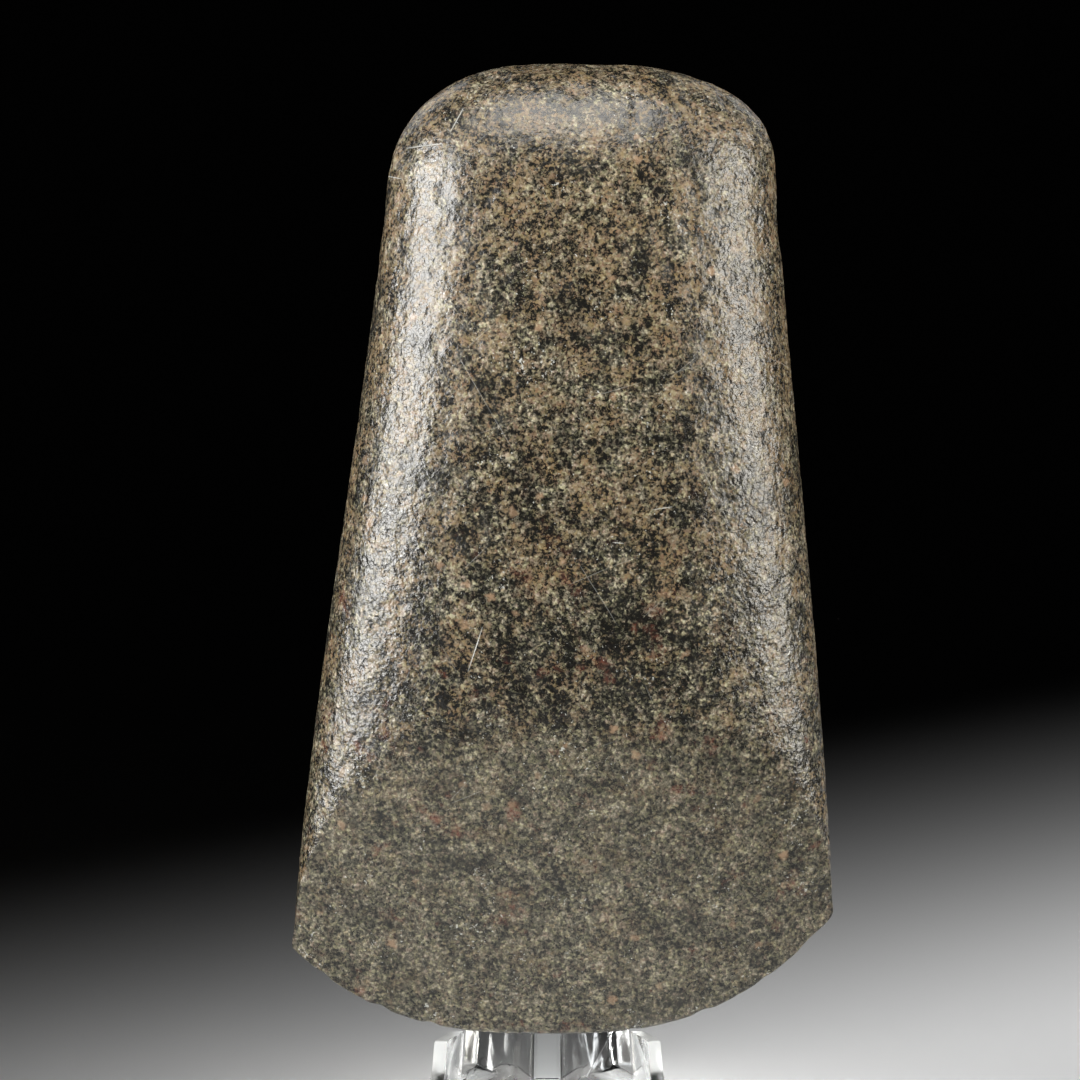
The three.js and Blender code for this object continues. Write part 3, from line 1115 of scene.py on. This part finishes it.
    def _relief(self, craft: Craft, taken: dict[str, bpy.types.NodeSocket],
                form: bpy.types.NodeSocket) -> bpy.types.NodeSocket:
        """Sinks swells, pits and scars into the form, and notches its edge. Nothing is raised.

        Args:
            craft: The tree.
            taken: The tree's inputs, by name.
            form: The ground form.

        Returns:
            The form with its relief, which keeps how deep in a pit each point is.
        """
        relief = Field(taken["Relief"])
        place = Place(craft.node("GeometryNodeInputPosition").outputs[0])
        normal = Place(craft.node("GeometryNodeInputNormal").outputs[0])
        x, _, z = place.parts()
        facet, distance = self._kept(craft, "facet"), self._kept(craft, "edge_distance")
        firm = distance.eased(*self.firm_from)
        depth = Field(taken["Swell Depth"]) * self.swells.read(craft, place) * firm
        flank = abs(x).eased(*self.pecked_flank) * self.flank_pecking
        pecked = (self.pecked.read(craft, place) + flank).eased(*self.pecked_from)
        rough = (pecked * (1.0 - facet * self.facet_grinding) + self.least_pecking).clamped()
        bowls = [self._pit_bowls(craft, form, place, pits, rough) * firm for pits in self.pits]
        for bowl, pits in zip(bowls, self.pits):
            depth = depth + bowl * pits.depth
        bottom = reduce(Field.at_least, bowls)
        smooth = firm * (1.0 - self.crumble_ground_off * facet)
        depth = depth + self.crumble.read(craft, place) * self.crumble_depth * smooth
        for scar in self.scars:
            off = ((place - scar.middle) * tuple(1.0 / reach for reach in scar.reach)).length()
            broken = (self.scar_break.read(craft, place + scar.middle) - 0.5) * self.scar_raggedness
            depth = depth + (1.0 - off - broken).eased(0.0, self.scar_rim) * scar.depth
        lift = reduce(Field.__add__, [
            (1.0 - abs(x - nick.x) / nick.width).at_least(0.0) ** self.nick_power * nick.depth
            for nick in self.nicks])
        ragged = self.edge_wear.read(craft, place * (1.0, 0.0, 0.0)) - self.edge_wear_level
        near_edge = (1.0 - distance / self.nick_fade).clamped() ** 2.0
        lift = (lift + ragged.at_least(0.0) * self.edge_wear_depth) * near_edge
        kept = self._keep(craft, form, "pit", bottom)
        raised = joined(0.0, 0.0, lift * relief, craft)
        sink = depth * relief * -1.0
        moved = normal * joined(sink, sink, sink, craft) + raised
        return craft.node("GeometryNodeSetPosition", {"Geometry": kept, "Offset": moved}).outputs[0]

    @staticmethod
    def _bake(tree: bpy.types.NodeTree, name: str, values: dict[str, object]) -> bpy.types.Object:
        """Runs the tree once and keeps its result as a plain mesh.

        Args:
            tree: The tree.
            name: The new object's name.
            values: What goes into the tree's inputs.

        Returns:
            The object, with no modifier.
        """
        body = bpy.data.objects.new(name, bpy.data.meshes.new(name))
        bpy.context.scene.collection.objects.link(body)
        modifier = body.modifiers.new("form", "NODES")
        modifier.node_group = tree
        for item in tree.interface.items_tree:
            if item.in_out == "INPUT" and item.name in values:
                modifier[item.identifier] = values[item.name]
        graph = bpy.context.evaluated_depsgraph_get()
        baked = bpy.data.meshes.new_from_object(body.evaluated_get(graph), depsgraph=graph)
        body.modifiers.clear()
        body.data = baked
        baked.name = name
        return body

    @staticmethod
    def _box(body: bpy.types.Object) -> tuple[Vector, Vector]:
        """Gives the lowest and highest corners of a mesh."""
        low = Vector(min(point.co[axis] for point in body.data.vertices) for axis in range(3))
        high = Vector(max(point.co[axis] for point in body.data.vertices) for axis in range(3))
        return low, high

    def standing_place(self, tree: bpy.types.NodeTree) -> Triple:
        """Finds where the head's own origin is, so that its ground form fills its solid's box.

        Args:
            tree: The tree that makes the head.

        Returns:
            The place, in metres.
        """
        plain = self._bake(tree, "ground_form", {"Relief": 0.0})
        low, high = self._box(plain)
        box_low, box_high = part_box("axe_head")
        bpy.data.objects.remove(plain)
        middle = (box_low + box_high - low - high) / 2.0
        return (middle.x, middle.y, box_low.z - low.z)

    def build(self, effects: Effects) -> bpy.types.Object:
        """Builds the head, dresses it and stands it on the stand.

        Args:
            effects: The shared groups.

        Returns:
            The finished piece.
        """
        tree = self.form_tree()
        place = self.standing_place(tree)
        stone = SpeckledStone(place, self.lean).material(effects)
        piece = self._bake(tree, "stone_axe_head", {"Relief": 1.0, "Place": place, "Stone": stone})
        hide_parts("axe_head")
        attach(piece, ROOT_BODY)
        LOG.info("%s: %d faces, own origin at %s", piece.name, len(piece.data.polygons), place)
        return piece


# ----------------------------------------------------------------------------------------------------------
# Display stand
# ----------------------------------------------------------------------------------------------------------


@dataclass
class DisplayStand:
    """The folded clear sheet that holds the axe head, with its sawn edges softly broken, in metres."""

    join_distance: float = 2e-6
    flat_angle: float = math.radians(0.6)
    broken_edge: float = 0.00018
    edge_angle: float = math.radians(40.0)
    smooth_angle: float = math.radians(30.0)
    sheet: float = 0.0026
    sheet_slack: float = 1.3
    step_inside: float = 0.00002

    def build(self, effects: Effects) -> bpy.types.Object:
        """Builds the stand and dresses it.

        Args:
            effects: The shared groups.

        Returns:
            The finished piece.
        """
        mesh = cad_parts["display_stand"].data.copy()
        mesh.name = "clear_stand"
        shell = bmesh.new()
        shell.from_mesh(mesh)
        bmesh.ops.remove_doubles(shell, verts=shell.verts, dist=self.join_distance)
        bmesh.ops.dissolve_limit(shell, angle_limit=self.flat_angle, verts=shell.verts, edges=shell.edges)
        self._mark_cut_faces(shell)
        low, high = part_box("display_stand")
        cut = [edge for edge in shell.edges
               if len(edge.link_faces) == 2 and edge.calc_face_angle(0.0) > self.edge_angle]
        bmesh.ops.bevel(shell, geom=cut, offset=self.broken_edge, offset_type="OFFSET", segments=2,
                        profile=0.5, affect="EDGES", clamp_overlap=False)
        bmesh.ops.triangulate(shell, faces=shell.faces)
        for vertex in shell.verts:
            for axis in range(3):
                vertex.co[axis] = min(max(vertex.co[axis], low[axis]), high[axis])
        for face in shell.faces:
            face.smooth = True
        for edge in shell.edges:
            edge.smooth = edge.calc_face_angle(0.0) < self.smooth_angle
        shell.to_mesh(mesh)
        shell.free()
        mesh.materials.clear()
        mesh.materials.append(ClearAcrylic().material(effects))
        piece = bpy.data.objects.new("clear_stand", mesh)
        piece.visible_shadow = False
        bpy.context.scene.collection.objects.link(piece)
        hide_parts("display_stand")
        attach(piece, ROOT_BODY)
        LOG.info("%s: %d faces", piece.name, len(mesh.polygons))
        return piece

    def _mark_cut_faces(self, shell: bmesh.types.BMesh) -> None:
        """Marks the sawn faces, which have more of the sheet behind them than it is thick."""
        mark = shell.faces.layers.float.new("cut")
        tree = BVHTree.FromBMesh(shell)
        for face in shell.faces:
            start = face.calc_center_median() - face.normal * self.step_inside
            _, _, _, reach = tree.ray_cast(start, -face.normal)
            face[mark] = float(reach is None or reach > self.sheet * self.sheet_slack)


# ----------------------------------------------------------------------------------------------------------
# Studio
# ----------------------------------------------------------------------------------------------------------


def direction_to(azimuth: float, elevation: float) -> Vector:
    """Gives the direction from the object to something round it.

    Args:
        azimuth: Degrees round from the front, positive to the right.
        elevation: Degrees above the horizon.

    Returns:
        The direction, one unit long.
    """
    turn, rise = math.radians(azimuth), math.radians(elevation)
    return Vector((math.sin(turn) * math.cos(rise), -math.cos(turn) * math.cos(rise), math.sin(rise)))


@dataclass(frozen=True)
class SoftBox:
    """A soft box that lights the object alone. Sizes are in metres, angles in degrees."""

    name: str
    azimuth: float
    elevation: float
    distance: float
    width: float
    height: float
    radiance: float
    colour: Triple = (1.0, 1.0, 1.0)

    def set_up(self, target: Vector, lit: bpy.types.Collection) -> bpy.types.Object:
        """Makes the light, aims it and keeps it off the floor.

        Args:
            target: The point that it is aimed at.
            lit: What it lights.

        Returns:
            The light.
        """
        light = bpy.data.lights.new(self.name, "AREA")
        light.shape = "RECTANGLE"
        light.size, light.size_y = self.width, self.height
        light.energy = self.radiance * math.pi * self.width * self.height
        light.color = self.colour
        box = bpy.data.objects.new(self.name, light)
        towards = direction_to(self.azimuth, self.elevation)
        box.location = target + towards * self.distance
        box.rotation_euler = towards.to_track_quat("Z", "Y").to_euler()
        bpy.context.scene.collection.objects.link(box)
        box.light_linking.receiver_collection = lit
        return box


@dataclass(frozen=True)
class FloorStrip:
    """A long soft strip that lays a slanting band of light on the floor alone. Metres, degrees, watts."""

    over: tuple[float, float] = (0.086, 0.030)
    height: float = 0.22
    length: float = 1.6
    width: float = 0.06
    turn: float = 49.0
    spread: float = 116.0
    power: float = 1.0

    def set_up(self, floor: bpy.types.Object) -> bpy.types.Object:
        """Makes the light and keeps it to the floor, with nothing in its way.

        Args:
            floor: The floor that it lights.

        Returns:
            The light.
        """
        light = bpy.data.lights.new("floor_strip", "AREA")
        light.shape = "RECTANGLE"
        light.size, light.size_y = self.length, self.width
        light.spread, light.energy = math.radians(self.spread), self.power
        strip = bpy.data.objects.new("floor_strip", light)
        strip.location = (*self.over, self.height)
        strip.rotation_euler = (0.0, 0.0, math.radians(self.turn))
        strip.visible_camera = False
        bpy.context.scene.collection.objects.link(strip)
        floor_alone = bpy.data.collections.new("floor_alone")
        floor_alone.objects.link(floor)
        strip.light_linking.receiver_collection = floor_alone
        strip.light_linking.blocker_collection = floor_alone
        return strip


@dataclass
class Studio:
    """A pale floor, soft boxes and the camera. Sizes are in metres, angles in degrees."""

    floor_radius: float = 24.0
    floor_sides: int = 96
    world_tint: Triple = (1.0, 1.0, 1.0)
    world_strength: float = 0.0006
    camera_azimuth: float = 0.0
    camera_elevation: float = 6.5
    camera_distance: float = 1.3
    camera_lens: float = 211.2
    aim_across: float = -0.00467
    aim_height_share: float = 0.5542
    aim_depth_share: float = 0.337
    boxes: tuple[SoftBox, ...] = (
        SoftBox("left_box", -60.0, 8.0, 1.1, 0.62, 1.2, 14.5, (1.0, 0.985, 0.955)),
        SoftBox("right_box", 62.0, 8.0, 1.1, 0.58, 1.2, 10.0, (1.0, 0.96, 0.88)),
        SoftBox("top_box", -6.0, 68.0, 0.5, 0.3, 0.26, 5.0, (1.0, 0.98, 0.95)),
        SoftBox("left_rear_box", -142.0, 34.0, 1.3, 0.6, 0.8, 1.6, (0.97, 0.98, 1.0)),
        SoftBox("right_rear_box", 142.0, 34.0, 1.3, 0.6, 0.8, 1.6, (1.0, 0.98, 0.95)),
    )
    floor_strip: FloorStrip = FloorStrip()

    def aim(self) -> Vector:
        """Gives the point that the camera looks at."""
        return Vector((self.aim_across,
                       CAD_LOW.y + (CAD_HIGH.y - CAD_LOW.y) * self.aim_depth_share,
                       CAD_HIGH.z * self.aim_height_share))

    def set_up(self, pieces: Sequence[bpy.types.Object]) -> None:
        """Lays the floor and sets up the world, the lights and the camera.

        Args:
            pieces: The object's pieces, which the soft boxes light.
        """
        floor = self._floor()
        self._world()
        lit = bpy.data.collections.new("lit_by_boxes")
        for piece in pieces:
            lit.objects.link(piece)
        for box in self.boxes:
            box.set_up(self.aim(), lit)
            LOG.info("%s: radiance %.1f at %.0f degrees", box.name, box.radiance, box.azimuth)
        self.floor_strip.set_up(floor)
        self._camera()

    def _floor(self) -> bpy.types.Object:
        """Lays the floor: a wide disc of pale paper under the stand's feet."""
        mesh = bpy.data.meshes.new("pale_floor")
        disc = bmesh.new()
        bmesh.ops.create_circle(disc, cap_ends=True, segments=self.floor_sides, radius=self.floor_radius)
        disc.to_mesh(mesh)
        disc.free()
        mesh.materials.append(PalePaper().material())
        floor = bpy.data.objects.new("pale_floor", mesh)
        bpy.context.scene.collection.objects.link(floor)
        return floor

    def _world(self) -> None:
        """Gives the room its faint even light."""
        world = bpy.data.worlds.new("dim_room")
        world.use_nodes = True
        background = world.node_tree.nodes["Background"]
        background.inputs["Color"].default_value = opaque(self.world_tint)
        background.inputs["Strength"].default_value = self.world_strength
        bpy.context.scene.world = world

    def _camera(self) -> None:
        """Sets up the camera and aims it."""
        lens = bpy.data.cameras.new("camera")
        lens.lens = self.camera_lens
        camera = bpy.data.objects.new("camera", lens)
        towards = direction_to(self.camera_azimuth, self.camera_elevation)
        camera.location = self.aim() + towards * self.camera_distance
        camera.rotation_euler = towards.to_track_quat("Z", "Y").to_euler()
        bpy.context.scene.collection.objects.link(camera)
        bpy.context.scene.camera = camera
        bpy.context.scene.view_settings.view_transform = "Standard"


# ----------------------------------------------------------------------------------------------------------
# The whole scene
# ----------------------------------------------------------------------------------------------------------


def main() -> None:
    """Builds every piece in order and sets up the studio."""
    logging.basicConfig(level=logging.INFO, format="%(name)s: %(message)s")
    effects = Effects()
    effects.build()
    pieces = [AxeHead().build(effects), DisplayStand().build(effects)]
    Studio().set_up(pieces)


if __name__ == "__main__":
    main()
